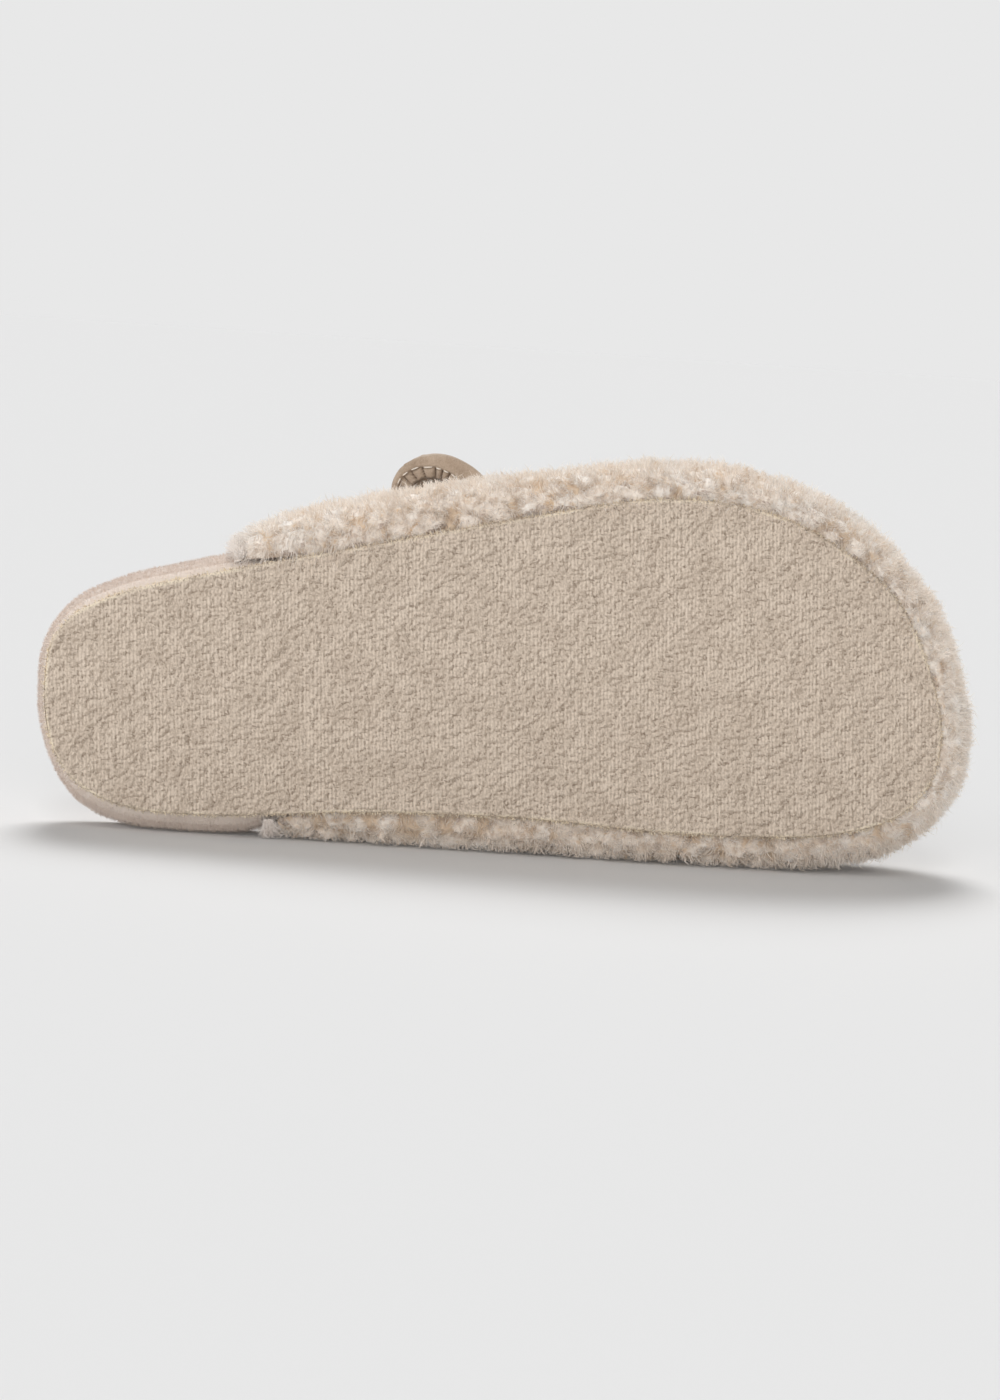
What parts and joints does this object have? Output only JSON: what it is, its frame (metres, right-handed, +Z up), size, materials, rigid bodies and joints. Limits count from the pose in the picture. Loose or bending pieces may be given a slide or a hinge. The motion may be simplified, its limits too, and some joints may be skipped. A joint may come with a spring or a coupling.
{
  "type": "clog slipper",
  "caption": "Clog slipper with a hollow sherpa upper open at the heel, a flat knit-faced sole, a wrapped footbed and a suede instep strap, lying on its inner side.",
  "frame": {"origin": "on the floor, under the middle of the lying slipper's box", "axes": "+X towards the toe, +Z up with the slipper lying on its inner side, -Y the way the sole faces"},
  "size_m": [0.2628, 0.0786, 0.1104],
  "materials": {
    "tan_knit": "matte",
    "pale_brushed": "matte",
    "pale_lining": "matte",
    "cream_sherpa": "matte",
    "pale_edge": "matte",
    "taupe_suede": "matte"
  },
  "bodies": {
    "root": {"outsole": "tan_knit", "midsole": "pale_brushed", "insole": "pale_lining", "upper": "cream_sherpa", "collar_binding": "pale_edge", "strap": "taupe_suede"}
  },
  "joints": []
}
